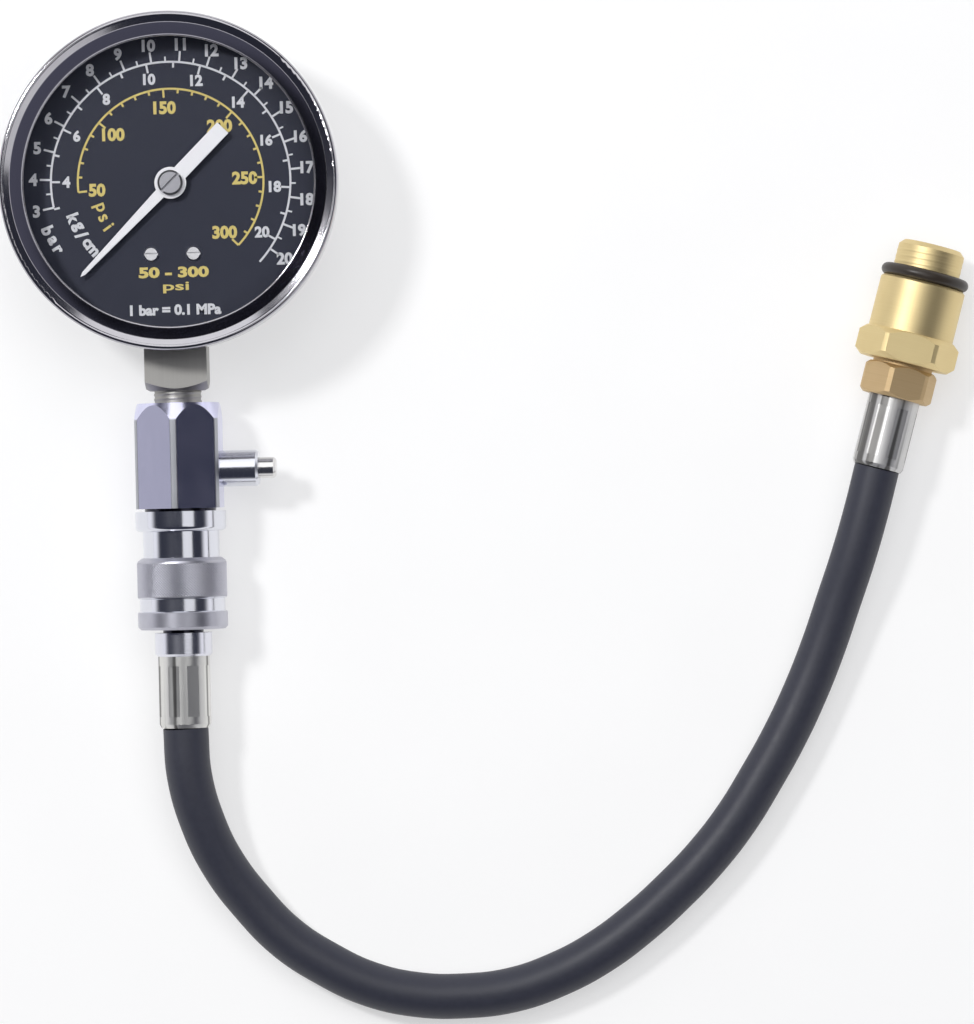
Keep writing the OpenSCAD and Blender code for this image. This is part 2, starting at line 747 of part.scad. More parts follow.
module plate_screws() {
  color(steel) both_sides(plate_screw_x, plate_screw_y) {
    translate([0, 0, pad_z - plate_screw_len])
      cylinder(d = plate_screw_d, h = plate_t + plate_screw_len + 0.1);
    translate([0, 0, plate_top]) slotted_head(screw_head_d, screw_head_d, 1.1, 0.5);
  }
}

module case_screws() {
  head_z = 0.05;
  slot_w = 0.8;
  slot_depth = 0.45;
  head_d = countersink_d - 0.2;
  low_d = case_screw_d - 0.1;
  color(steel) both_sides(case_screw_x, case_screw_y) difference() {
    translate([0, 0, head_z]) {
      cylinder(d1 = head_d, d2 = low_d, h = (head_d - low_d) / 2);
      cylinder(d = case_screw_d, h = case_screw_len - head_z);
    }
    translate([-head_d, -slot_w / 2, head_z - past]) cube([2 * head_d, slot_w, slot_depth + past]);
  }
}

module valve_body() {
  thread_hole_d = stem_thread_d + 2 * seat_gap;
  color(chrome) difference() {
    on_stem(hex_at) rotate([0, 0, hex_turn]) turned_hex(hex_af, hex_len, hex_bevel, 0);
    on_stem(hex_at - past) cylinder(d = thread_hole_d, h = stem_thread_len - thread_gap + 0.4 + past);
    on_stem(collar_at - spigot_len - 0.2) cylinder(d = thread_hole_d, h = spigot_len + 0.2 + past);
    on_stem(hex_at + past) cylinder(d = bore_d, h = hex_len - 2 * past);
    on_bleed(0) cylinder(d = bleed_bore_d, h = hex_af);
    on_bleed(bleed_seat) cylinder(d = bleed_seat_d + 2 * seat_gap, h = hex_af / 2);
  }
}

module bleed_barrel() {
  color(chrome) difference() {
    union() {
      on_bleed(bleed_seat) cylinder(d = bleed_seat_d, h = hex_af / 2 - bleed_seat + past);
      on_bleed(hex_af / 2) turned_bar(bleed_barrel_d, bleed_barrel_len, 0.4, 0.5);
    }
    on_bleed(bleed_step) cylinder(d = bleed_button_d + 2 * slide_gap, h = bleed_out - bleed_step + past);
    on_bleed(bleed_seat - past) cylinder(d = bleed_pin_d + 0.6, h = bleed_out - bleed_seat);
  }
}

module bleed_button() {
  low = bleed_step + bleed_spring_len;
  pin_at = bleed_seat - bleed_seal_t - 0.2;
  color(steel) {
    on_bleed(low) turned_bar(bleed_button_d, bleed_out + bleed_button_out - low, 0.5, 0.5);
    on_bleed(pin_at) cylinder(d = bleed_pin_d, h = low - pin_at + 0.4);
  }
}

module bleed_seal() {
  color(rubber) on_bleed(bleed_seat - bleed_seal_t - 0.02)
    pipe(bleed_bore_d - 0.6, bleed_pin_d + 2 * seat_gap, bleed_seal_t);
}

module bleed_spring() {
  wire = 0.35;
  mean_r = bleed_button_d / 2 - 0.6;
  color(steel) on_bleed(bleed_step + 0.03) coil(mean_r, wire, bleed_spring_len - 0.06, 4, 12);
}

module coupler_body() {
  collar_round = 1;
  seat_len = 0.6;
  seat_d = collar_d - 4;
  air_len = plug_nose_at - collar_at + spigot_len + past;
  seal_groove_d = plug_d + 2 * seal_w + 0.04;
  color(chrome) difference() {
    union() {
      on_stem(collar_at - spigot_len) cylinder(d = stem_thread_d, h = spigot_len + 0.2);
      on_stem(collar_at) cylinder(d = seat_d, h = collar_len);
      on_stem(neck_at) mirror([0, 0, 1]) rotate_extrude()
        cup_section(collar_d / 2, collar_len - seat_len, collar_round);
      on_stem(neck_at - 0.5) cylinder(d = neck_d, h = neck_end - neck_at + 0.5);
      on_stem(neck_at) cylinder(d = barrel_d, h = barrel_end - neck_at);
    }
    on_stem(collar_at - spigot_len - past) cylinder(d = bore_d, h = air_len);
    on_stem(plug_nose_at - 0.3) cylinder(d = plug_d + 2 * run_gap, h = barrel_end - plug_nose_at + past);
    on_stem(seal_at - 0.02) cylinder(d = seal_groove_d, h = seal_t + 0.04);
    on_stem(ring_at) pipe(barrel_d + 2, barrel_d - 2 * ring_groove, ring_t + 0.1);
    for (i = [0:ball_count - 1]) on_stem(ball_at) rotate([0, 0, 360 * i / ball_count + 30]) rotate([0, 90, 0])
      cylinder(d = ball_d + 0.1, h = barrel_d);
  }
}

module coupler_sleeve() {
  edge = 0.5;
  groove_depth = 0.5;
  rim_cut = 0.7;
  rim_at = knurl_len + sleeve_groove_len;
  root_d = sleeve_d - 2 * knurl_depth - 0.1;
  color(nickel) on_stem(sleeve_at) difference() {
    union() {
      cylinder(d1 = root_d - 2 * edge + 0.2, d2 = root_d, h = edge);
      translate([0, 0, edge]) linear_extrude(knurl_len - edge) polygon([for (i = [0:2 * knurl_count - 1])
        let (r = sleeve_d / 2 - (i % 2) * knurl_depth, a = 180 * i / knurl_count) r * [cos(a), sin(a)]]);
      translate([0, 0, knurl_len]) cylinder(d = sleeve_d - 2 * groove_depth, h = sleeve_groove_len);
      translate([0, 0, rim_at]) turned_bar(sleeve_d, sleeve_len - rim_at, rim_cut, rim_cut);
    }
    translate([0, 0, -past]) cylinder(d = chamber_d, h = land_at - sleeve_at + past);
    translate([0, 0, -past]) cylinder(d = land_d, h = sleeve_len + 2 * past);
    translate([0, 0, land_end - sleeve_at]) cylinder(d = recess_d, h = sleeve_len);
  }
}

module sleeve_spring() {
  wire = 0.8;
  color(steel) on_stem(neck_end + 0.05)
    coil((barrel_d + chamber_d) / 4, wire, land_at - neck_end - 0.1, 2, 16);
}

module locking_balls() {
  color(steel) for (i = [0:ball_count - 1]) on_stem(ball_at) rotate([0, 0, 360 * i / ball_count + 30])
    translate([ball_ring_r, 0, 0]) sphere(d = ball_d);
}

module retaining_ring() {
  color(steel) on_stem(ring_at + 0.05)
    pipe(recess_d - 0.6, barrel_d - 2 * ring_groove + 2 * seat_gap, ring_t);
}

module coupler_seal() {
  color(rubber) on_stem(seal_at) pipe(plug_d + 2 * seal_w, plug_d + 2 * run_gap, seal_t);
}

// Barbed tail that the hose is crimped on, standing on z = 0
module barb() {
  core = barb_d - 0.8;
  ridges = 4;
  translate([0, 0, -0.5]) cylinder(d = core, h = ferrule_len - 0.5);
  for (i = [0:ridges - 1]) translate([0, 0, 1.5 + i * (ferrule_len - 4) / ridges])
    cylinder(d1 = barb_d, d2 = core, h = 2);
}

// Crimped ferrule, standing on z = 0 with its mouth at the top
module ferrule() {
  band = 2;
  flats = 8;
  floor_t = 1.2;
  difference() {
    union() {
      cylinder(d = ferrule_d, h = band);
      intersection() {
        cylinder(d = ferrule_d, h = ferrule_len - band);
        cylinder(d = (ferrule_d - 2 * crimp_depth) / cos(180 / flats), h = ferrule_len, $fn = flats);
      }
      translate([0, 0, ferrule_len - band - 0.4]) turned_bar(ferrule_d, band + 0.4, 0.4, 0.8);
    }
    translate([0, 0, -past]) cylinder(d = barb_d + 2 * seat_gap, h = floor_t + 2 * past);
    translate([0, 0, floor_t]) cylinder(d = ferrule_d - 2.2, h = ferrule_len);
  }
}

module hose_plug() {
  nose = 0.8;
  cut = 0.5;
  color(nickel) difference() {
    union() {
      on_stem(plug_nose_at) cylinder(d1 = plug_d - 1, d2 = plug_d, h = nose);
      on_stem(plug_nose_at + nose) cylinder(d = plug_d, h = plug_collar_at - plug_nose_at - nose);
      on_stem(plug_collar_at) turned_bar(plug_collar_d, plug_collar_len, cut, cut);
      on_stem(ferrule_at) barb();
    }
    on_stem(plug_nose_at - past) cylinder(d = plug_bore_d, h = hose_at - plug_nose_at + 2 * past);
    on_stem(ball_at) rotate_extrude() translate([ball_ring_r, 0]) circle(d = ball_d + 0.12);
  }
}

module plug_ferrule() {
  color(nickel) on_stem(ferrule_at) ferrule();
}

module hose() {
  tangents = [for (i = [0:last]) i == 0 ? [0, -1, 0] : i == last ? [sin(route_turn), cos(route_turn), 0]
    : hose_points[i + 1] - hose_points[i - 1]];
  color(rubber) sweep(hose_points, tangents, hose_d / 2, hose_sides);
}

module end_ferrule() {
  color(nickel) on_adapter(ferrule_len) rotate([180, 0, 0]) ferrule();
}

module end_fitting() {
  cut = 0.8;
  color(brass) difference() {
    union() {
      on_adapter(ferrule_len) rotate([180, 0, 0]) barb();
      on_adapter(end_hex_at) rotate([0, 0, 30 + end_hex_turn]) turned_hex(end_af, end_hex_len, cut, cut);
      on_adapter(adapter_at - joint_gap - 0.2) cylinder(d = end_af - 1.4, h = joint_gap + 0.2);
      on_adapter(adapter_at - 0.2) cylinder(d = joint_thread_d, h = joint_thread_len + 0.2);
    }
    on_adapter(-past) cylinder(d = plug_bore_d, h = adapter_at + joint_thread_len + 2 * past);
  }
}

module thread_adapter() {
  hex_cut = 1.2;
  color(brass) difference() {
    union() {
      on_adapter(adapter_at) rotate([0, 0, 30]) turned_hex(adapter_af, adapter_hex_len, hex_cut, hex_cut);
      on_adapter(adapter_body_at - 0.5) turned_bar(adapter_body_d, adapter_body_len + 0.5, 0.5, 0.5);
      on_adapter(oring_at - past) cylinder(d = oring_seat_d, h = tip_at - oring_at + 2 * past);
      on_adapter(tip_at) turned_bar(tip_thread_d, tip_thread_len, 1, 1);
    }
    on_adapter(adapter_at - past)
      cylinder(d = joint_thread_d + 2 * seat_gap, h = joint_thread_len + 0.3 + past);
    on_adapter(adapter_at) cylinder(d = adapter_bore_d, h = core_in - adapter_at + past);
    on_adapter(core_in) cylinder(d = core_d + 2 * seat_gap, h = tip_end - core_in + past);
  }
}

module o_ring() {
  color(rubber) on_adapter(oring_at + oring_t / 2 + 0.02) rotate_extrude()
    translate([tip_thread_d / 2 - 0.2 + oring_t / 2, 0]) circle(d = oring_t);
}

module check_valve_body() {
  slot_w = 0.8;
  color(brass) on_adapter(core_in) difference() {
    cylinder(d = core_d, h = core_len);
    translate([0, 0, -past]) cylinder(d = core_bore_d, h = core_len + 2 * past);
    translate([0, 0, core_len - core_recess]) cylinder(d = core_head_d + 0.2, h = core_recess + past);
    translate([-core_d, -slot_w / 2, core_len - 0.8]) cube([2 * core_d, slot_w, past + 0.8]);
  }
}

module check_valve_pin() {
  pin_at = core_in - core_head_t - 0.05;
  button_at = core_out - 0.2 - core_button_t;
  pin_len = button_at + core_button_t - pin_at - 0.2;
  color(steel) {
    on_adapter(pin_at) cylinder(d = core_bore_d - 2 * slide_gap, h = pin_len);
    on_adapter(pin_at) cylinder(d = core_head_d, h = core_head_t);
    on_adapter(button_at) cylinder(d = core_head_d - 0.6, h = core_button_t);
  }
}

module check_valve_spring() {
  wire = 0.25;
  color(steel) on_adapter(core_out - core_recess + 0.03)
    coil(core_bore_d / 2 + 0.3, wire, core_recess - core_button_t - 0.26, 3, 12);
}

gauge_case();
bezel_ring();
lens();
lens_seal();
dial_plate();
dial_screws();
dial_spacers();
pointer();
pointer_boss();
pinion_arbor();
hairspring();
sector_gear();
pull_link();
tube_tip();
bourdon_tube();
stem_socket();
back_plate();
front_plate();
plate_pillars();
plate_screws();
case_screws();
valve_body();
bleed_barrel();
bleed_button();
bleed_seal();
bleed_spring();
coupler_body();
coupler_sleeve();
sleeve_spring();
locking_balls();
retaining_ring();
coupler_seal();
hose_plug();
plug_ferrule();
hose();
end_ferrule();
end_fitting();
thread_adapter();
o_ring();
check_valve_body();
check_valve_pin();
check_valve_spring();
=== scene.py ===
import json
import math

import bmesh
import bpy
from mathutils import Matrix, Vector

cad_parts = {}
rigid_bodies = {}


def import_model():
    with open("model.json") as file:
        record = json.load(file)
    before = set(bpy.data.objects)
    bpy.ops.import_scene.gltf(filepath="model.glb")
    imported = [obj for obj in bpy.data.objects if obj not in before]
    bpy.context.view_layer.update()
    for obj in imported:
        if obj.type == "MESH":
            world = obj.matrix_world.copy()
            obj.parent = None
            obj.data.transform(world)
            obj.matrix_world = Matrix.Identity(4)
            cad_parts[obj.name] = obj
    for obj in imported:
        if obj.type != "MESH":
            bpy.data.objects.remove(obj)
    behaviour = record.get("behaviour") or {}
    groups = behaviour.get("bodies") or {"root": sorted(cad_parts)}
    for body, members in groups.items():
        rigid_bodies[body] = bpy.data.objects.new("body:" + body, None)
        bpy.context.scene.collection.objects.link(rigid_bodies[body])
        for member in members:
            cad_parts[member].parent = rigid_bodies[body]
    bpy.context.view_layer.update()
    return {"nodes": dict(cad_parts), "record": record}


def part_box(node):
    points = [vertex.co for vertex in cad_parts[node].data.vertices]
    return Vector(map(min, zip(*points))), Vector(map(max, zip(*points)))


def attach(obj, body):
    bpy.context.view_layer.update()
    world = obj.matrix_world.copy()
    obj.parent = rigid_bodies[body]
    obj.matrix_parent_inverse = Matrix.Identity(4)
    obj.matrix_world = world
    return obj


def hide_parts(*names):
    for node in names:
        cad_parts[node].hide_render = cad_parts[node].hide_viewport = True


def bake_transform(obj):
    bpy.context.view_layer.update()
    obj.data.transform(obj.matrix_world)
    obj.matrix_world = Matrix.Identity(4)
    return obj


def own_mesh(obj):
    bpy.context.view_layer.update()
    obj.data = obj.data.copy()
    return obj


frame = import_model()
mm = 0.001
weldReach = 1e-7     # points closer than this are one point
scene = bpy.context.scene
scene.view_settings.view_transform = "Standard"

# camera: straight down, as the tester lies on a table
shot = {
    "place": (64.1 * mm, -69.9 * mm, 1230 * mm),
    "turn": -1.37,     # degrees, so that the stem leans as in the photograph
    "lens": 204.8,     # on the 36 mm long side of a 974 x 1024 frame
    "sensor": 36.0,
}


def setCamera():
    cam = bpy.data.objects.new("camera", bpy.data.cameras.new("camera"))
    cam.data.sensor_width = shot["sensor"]
    cam.data.lens = shot["lens"]
    cam.location = shot["place"]
    cam.rotation_euler = (0, 0, math.radians(shot["turn"]))
    scene.collection.objects.link(cam)
    scene.camera = cam


# a socket takes a field, a number, a vector or a colour of three numbers
def feed(tree, slot, value):
    if isinstance(value, Field):
        tree.links.new(value.out, slot)
    elif slot.type == "RGBA":
        slot.default_value = (*value, 1.0)
    else:
        slot.default_value = value


# shader maths on sockets
class Field:
    def __init__(self, tree, out):
        self.tree = tree
        self.out = out

    def count(self, operation, first, second):
        node = self.tree.nodes.new("ShaderNodeMath")
        node.operation = operation
        feed(self.tree, node.inputs[0], first)
        feed(self.tree, node.inputs[1], second)
        return Field(self.tree, node.outputs[0])

    def __add__(self, other):
        return self.count("ADD", self, other)

    def __sub__(self, other):
        return self.count("SUBTRACT", self, other)

    def __rsub__(self, other):
        return self.count("SUBTRACT", other, self)

    def __mul__(self, other):
        return self.count("MULTIPLY", self, other)

    def __pow__(self, other):
        return self.count("POWER", self, other)

    __radd__ = __add__
    __rmul__ = __mul__


class Tree:
    def __init__(self, holder):
        holder.use_nodes = True
        self.tree = holder.node_tree

    def add(self, kind, settings=None, output=0, **values):
        node = self.tree.nodes.new("ShaderNode" + kind)
        for key, value in (settings or {}).items():
            setattr(node, key, value)
        self.set(node, **values)
        return Field(self.tree, node.outputs[output])

    def set(self, node, **values):
        for key, value in values.items():
            named = [s for s in node.inputs if s.enabled and s.name.replace(" ", "") == key]
            feed(self.tree, named[0], value)

    def step(self, value, low, high, first=0.0, last=1.0):
        return self.add("MapRange", {"interpolation_type": "SMOOTHSTEP"}, Value=value,
                        FromMin=low, FromMax=high, ToMin=first, ToMax=last)

    def mix(self, factor, first, second):
        return self.add("Mix", {"data_type": "RGBA"}, output=2, Factor=factor, A=first, B=second)


class Finish(Tree):
    def __init__(self, name):
        self.material = bpy.data.materials.new(name)
        super().__init__(self.material)
        self.shader = self.tree.nodes["Principled BSDF"]

    def place(self, stretch=(1, 1, 1), turn=0.0, shift=(0, 0, 0)):
        coords = self.add("TexCoord", output="Object")
        turned = self.add("Mapping", Vector=coords, Rotation=(0, 0, math.radians(turn)),
                          Location=shift)
        return self.add("Mapping", Vector=turned, Scale=stretch)

    # 0 inside and 1 outside a radius about an axis; keep is 0 along the axis
    def beyond(self, radius, keep, shift=(0, 0, 0), soft=0.1 * mm):
        reach = self.add("VectorMath", {"operation": "LENGTH"}, output=1,
                         Vector=self.place(keep, shift=shift))
        return self.step(reach, radius - soft, radius + soft)

    def noise(self, vector, scale, detail=2.0):
        return self.add("TexNoise", Vector=vector, Scale=scale, Detail=detail)

    def bump(self, height, strength, distance):
        return self.add("Bump", Height=height, Strength=strength, Distance=distance)


# metal with a grain: stretch is large across the grain and small along it
metalBase = {
    "grainDetail": 3.0,
    "grainShare": 0.4,
    "cloudScale": 140.0,
    "cloudShare": 0.6,
    "cloudSpread": 0.5,
    "bumpDepth": 0.2 * mm,
}


def metalFinish(name, tint, shade, rough, spread, stretch, turn=0.0, relief=0.04, trim=None):
    m = metalBase
    paint = Finish(name)
    grain = paint.noise(paint.place(stretch, turn), 1.0, m["grainDetail"])
    cloud = paint.noise(paint.place(), m["cloudScale"])
    colour = paint.mix(cloud * m["cloudShare"] + grain * m["grainShare"], tint, shade)
    roughness = rough + spread * (grain - 0.5) + m["cloudSpread"] * spread * (cloud - 0.5)
    if trim:
        colour, roughness = trim(paint, colour, roughness)
    paint.set(
        paint.shader,
        BaseColor=colour,
        Metallic=1.0,
        Roughness=roughness,
        Normal=paint.bump(grain, relief, m["bumpDepth"]),
    )
    return paint.material


# the inner slope of the bezel is painted near-black, a painted reflection standing in for the
# dark dial mirrored in the chrome; its rolled rim and thin lip stay bright
bezelReflectionTrim = {
    "keep": (1, 1, 0),
    "rim": 32.7 * mm,
    "lip": 30.45 * mm,
    "black": (0.056, 0.056, 0.08),
}


# painted reflection: a dark colour on the slope between the rim and the lip radii
def blackenSlope(paint, colour, roughness):
    rim = paint.beyond(bezelReflectionTrim["rim"], bezelReflectionTrim["keep"])
    lip = 1.0 - paint.beyond(bezelReflectionTrim["lip"], bezelReflectionTrim["keep"])
    return paint.mix(rim + lip, bezelReflectionTrim["black"], colour), roughness


# the long corners of the hex body are turned and rougher than its polished flats; their grey
# tint is a painted highlight, standing in for the light strip along the rounded corners
stemAxis = {"keep": (1, 0, 1), "shift": (0, 0, -11 * mm)}
cornerHighlightTrim = {"corner": 9.72 * mm, "soft": 0.06 * mm, "rough": 0.16, "tint": (0.42, 0.43, 0.46)}


# painted highlight: a grey tint and more roughness on the corner strips
def roughenCorners(paint, colour, roughness):
    corner = paint.beyond(cornerHighlightTrim["corner"], soft=cornerHighlightTrim["soft"], **stemAxis)
    return paint.mix(corner, colour, cornerHighlightTrim["tint"]), roughness + cornerHighlightTrim["rough"] * corner


# painted shade: the seat of the coupler and the nose of the plug are painted dark, where the
# narrow gaps between the parts lie in shade
gapShadeTrim = {"seat": 7.75 * mm, "nose": 5.2 * mm, "black": (0.03, 0.03, 0.042)}


# painted shade: inside the given radius the colour turns dark, as the gap would be in shade
def darkenInside(place):
    def trim(paint, colour, roughness):
        outside = paint.beyond(gapShadeTrim[place], **stemAxis)
        return paint.mix(outside, gapShadeTrim["black"], colour), roughness
    return trim


# dark lines drawn along a crimped ferrule
streakTrim = {"stretch": (520, 7, 520), "low": 0.5, "high": 0.62, "dark": (0.19, 0.186, 0.18)}


def streakFerrule(turn):
    def trim(paint, colour, roughness):
        lines = paint.noise(paint.place(streakTrim["stretch"], turn), 1.0, 1.0)
        dark = paint.step(lines, streakTrim["low"], streakTrim["high"])
        return paint.mix(dark, colour, streakTrim["dark"]), roughness
    return trim


# paint, print and rubber: an even grain of specks
paintBase = {"grainDetail": 3.0, "spread": 0.16, "bumpDepth": 0.1 * mm}


def paintFinish(name, tint, shade, rough, speck, relief, gloss=0.5):
    paint = Finish(name)
    grain = paint.noise(paint.place(), speck, paintBase["grainDetail"])
    paint.set(
        paint.shader,
        BaseColor=paint.mix(grain, tint, shade),
        Roughness=rough + paintBase["spread"] * (grain - 0.5),
        Normal=paint.bump(grain, relief, paintBase["bumpDepth"]),
        SpecularIORLevel=gloss,
    )
    return paint.material


# the lens is clear from above and reflects at a glance
lensLook = {
    "tint": (0.02, 0.022, 0.026),
    "rough": 0.02,
    "smear": 0.05,
    "smearScale": 45.0,
    "veil": 0.02,
    "glare": 0.8,
    "falloff": 5.0,
}


def lensFinish():
    look = lensLook
    paint = Finish("clearLens")
    glance = paint.add("LayerWeight", output="Facing", Blend=0.5)
    smear = paint.noise(paint.place(), look["smearScale"])
    paint.set(
        paint.shader,
        BaseColor=look["tint"],
        Roughness=look["rough"] + look["smear"] * smear,
        Alpha=look["veil"] + look["glare"] * glance ** look["falloff"],
    )
    return paint.material


setCamera()
print("camera set")

alongStem = (2600, 30, 2600)
roundStem = (6, 3000, 6)
alongFerrule = (900, 16, 900)
allWays = (260, 260, 260)
fineGrain = (700, 700, 700)
adapterTurn = 15.5     # degrees, the lean of the hose's far end

metals = {
    "caseChrome": dict(
        tint=(0.58, 0.58, 0.61), shade=(0.48, 0.48, 0.52), rough=0.16, spread=0.08,
        stretch=(30, 30, 1800)),
    "bezelChrome": dict(
        tint=(0.52, 0.51, 0.54), shade=(0.44, 0.43, 0.46), rough=0.12, spread=0.04,
        stretch=allWays, relief=0.008, trim=blackenSlope),
    "brightChrome": dict(
        tint=(0.77, 0.77, 0.97), shade=(0.7, 0.7, 0.9), rough=0.2, spread=0.1,
        stretch=allWays, trim=roughenCorners),
    "turnedChrome": dict(
        tint=(0.76, 0.77, 0.82), shade=(0.7, 0.71, 0.77), rough=0.17, spread=0.06,
        stretch=roundStem),
    "collarChrome": dict(
        tint=(0.76, 0.77, 0.82), shade=(0.7, 0.71, 0.77), rough=0.14, spread=0.05,
        stretch=roundStem, trim=darkenInside("seat")),
    "stemPlate": dict(
        tint=(0.44, 0.43, 0.41), shade=(0.36, 0.355, 0.34), rough=0.46, spread=0.14,
        stretch=alongStem),
    "sleeveNickel": dict(
        tint=(0.57, 0.57, 0.63), shade=(0.48, 0.48, 0.54), rough=0.38, spread=0.1,
        stretch=fineGrain),
    "plugNickel": dict(
        tint=(0.78, 0.78, 0.84), shade=(0.7, 0.71, 0.78), rough=0.21, spread=0.07,
        stretch=roundStem, trim=darkenInside("nose")),
    "ferrulePlate": dict(
        tint=(0.8, 0.79, 0.76), shade=(0.64, 0.64, 0.62), rough=0.36, spread=0.18,
        stretch=alongFerrule, trim=streakFerrule(0.0)),
    "farFerrulePlate": dict(
        tint=(0.74, 0.73, 0.72), shade=(0.58, 0.58, 0.57), rough=0.52, spread=0.18,
        stretch=alongFerrule, turn=adapterTurn, trim=streakFerrule(adapterTurn)),
    "adapterBrass": dict(
        tint=(0.86, 0.71, 0.39), shade=(0.76, 0.61, 0.32), rough=0.52, spread=0.1,
        stretch=roundStem, turn=adapterTurn, relief=0.015),
    "fittingBrass": dict(
        tint=(0.74, 0.57, 0.34), shade=(0.65, 0.49, 0.28), rough=0.66, spread=0.12,
        stretch=roundStem, turn=adapterTurn, relief=0.02),
    "movementBrass": dict(
        tint=(0.72, 0.53, 0.25), shade=(0.6, 0.43, 0.19), rough=0.28, spread=0.12,
        stretch=(40, 900, 40)),
    "plainSteel": dict(
        tint=(0.56, 0.56, 0.58), shade=(0.44, 0.44, 0.46), rough=0.28, spread=0.12,
        stretch=(500, 500, 500)),
    "screwSteel": dict(
        tint=(0.86, 0.86, 0.88), shade=(0.7, 0.7, 0.72), rough=0.34, spread=0.16,
        stretch=fineGrain),
    "buttonChrome": dict(
        tint=(0.8, 0.79, 0.78), shade=(0.68, 0.67, 0.66), rough=0.2, spread=0.08,
        stretch=(3000, 6, 6)),
    "bossSteel": dict(
        tint=(0.46, 0.46, 0.49), shade=(0.34, 0.34, 0.37), rough=0.4, spread=0.14,
        stretch=(700, 700, 60)),
}

paints = {
    "hoseRubber": dict(
        tint=(0.026, 0.028, 0.042), shade=(0.036, 0.038, 0.056), rough=0.5, speck=900.0,
        relief=0.15),
    "ringRubber": dict(
        tint=(0.022, 0.016, 0.012), shade=(0.04, 0.03, 0.022), rough=0.4, speck=700.0,
        relief=0.2),
    "dialPaint": dict(
        tint=(0.021, 0.024, 0.042), shade=(0.026, 0.029, 0.049), rough=0.6, speck=1500.0,
        relief=0.12, gloss=0.3),
    "whiteInk": dict(
        tint=(0.72, 0.73, 0.77), shade=(0.6, 0.61, 0.65), rough=0.55, speck=1200.0,
        relief=0.1),
    "yellowInk": dict(
        tint=(0.74, 0.6, 0.18), shade=(0.62, 0.5, 0.15), rough=0.55, speck=1200.0,
        relief=0.1),
    "pointerPaint": dict(
        tint=(0.92, 0.92, 0.95), shade=(0.84, 0.84, 0.88), rough=0.4, speck=800.0,
        relief=0.08),
}

finishes = {name: metalFinish(name, **look) for name, look in metals.items()}
finishes.update({name: paintFinish(name, **look) for name, look in paints.items()})
finishes["clearLens"] = lensFinish()

nodeFinishes = {
    "caseChrome": ["gauge_case"],
    "bezelChrome": ["bezel_ring"],
    "brightChrome": ["valve_body"],
    "turnedChrome": ["bleed_barrel"],
    "collarChrome": ["coupler_body"],
    "stemPlate": ["stem_socket"],
    "sleeveNickel": ["coupler_sleeve"],
    "plugNickel": ["hose_plug"],
    "ferrulePlate": ["plug_ferrule"],
    "farFerrulePlate": ["end_ferrule"],
    "adapterBrass": ["thread_adapter", "check_valve_body"],
    "fittingBrass": ["end_fitting"],
    "movementBrass": [
        "dial_spacers", "hairspring", "sector_gear", "tube_tip", "bourdon_tube", "back_plate",
        "front_plate", "plate_pillars"],
    "plainSteel": [
        "pinion_arbor", "pull_link", "plate_screws", "case_screws", "bleed_spring",
        "sleeve_spring", "locking_balls", "retaining_ring", "check_valve_pin",
        "check_valve_spring"],
    "screwSteel": ["dial_screws"],
    "buttonChrome": ["bleed_button"],
    "bossSteel": ["pointer_boss"],
    "hoseRubber": ["hose", "lens_seal", "bleed_seal", "coupler_seal"],
    "ringRubber": ["o_ring"],
    "dialPaint": ["dial_plate"],
    "pointerPaint": ["pointer"],
    "clearLens": ["lens"],
}


def dressNodes():
    for finish, nodes in nodeFinishes.items():
        for node in nodes:
            mesh = frame["nodes"][node].data
            mesh.materials.clear()
            mesh.materials.append(finishes[finish])


# hose: one open curve between the mouths of its two ferrules
hoseLine = {
    "diameter": 9.5 * mm,
    "length": 0.243,
    "mouth": (0, -113.5),
    "route": [     # millimetres from the mouth, height above the table last
        (0, 0, 11), (0.5, -10, 10.5), (3, -20, 9), (7, -29, 7), (13, -37.5, 5.5),
        (20, -45, 5), (28, -50.5, 5), (37, -55, 5), (47, -57.5, 5), (57, -58, 5),
        (67, -57, 5), (76.5, -54, 5), (85.5, -49.5, 5), (94, -43.5, 5), (101.5, -37, 5),
        (108.5, -30, 5), (115, -22, 5), (120.5, -13.5, 5), (125.5, -5, 5), (130, 4, 5),
        (134, 13.5, 5.5), (137.4, 23, 6.5), (140.7, 32.5, 8), (143.6, 42, 9), (146, 50.9, 9.5),
    ],
    "roundSteps": 10,
    "longSteps": 6,
    "with": [
        "hose_plug", "plug_ferrule", "end_ferrule", "end_fitting", "thread_adapter", "o_ring",
        "check_valve_body", "check_valve_pin"],
    "madeHere": ["plugThread", "valveCoil"],
}


def makeHose():
    mouthX, mouthY = hoseLine["mouth"]
    points = [Vector((x + mouthX, y + mouthY, z)) * mm for x, y, z in hoseLine["route"]]
    curve = bpy.data.curves.new("rubberHose", "CURVE")
    curve.dimensions = "3D"
    curve.bevel_depth = hoseLine["diameter"] / 2
    curve.bevel_resolution = hoseLine["roundSteps"]
    curve.resolution_u = hoseLine["longSteps"]
    curve.use_fill_caps = True
    spline = curve.splines.new("BEZIER")
    spline.bezier_points.add(len(points) - 1)
    for knot, point in zip(spline.bezier_points, points):
        knot.co = point
        knot.handle_left_type = "AUTO"
        knot.handle_right_type = "AUTO"
    curve.materials.append(finishes["hoseRubber"])
    hose = bpy.data.objects.new("rubberHose", curve)
    scene.collection.objects.link(hose)
    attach(hose, "hose_line")
    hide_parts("hose")
    return hose, points[0]


# what hangs on the hose is gathered into a list once it is made; the list is not used further
def declareHose():
    carried = [frame["nodes"][n] for n in hoseLine["with"]]
    carried += [bpy.data.objects[n] for n in hoseLine["madeHere"]]


dressNodes()
rubberHose, hoseMouth = makeHose()
print("hose laid")


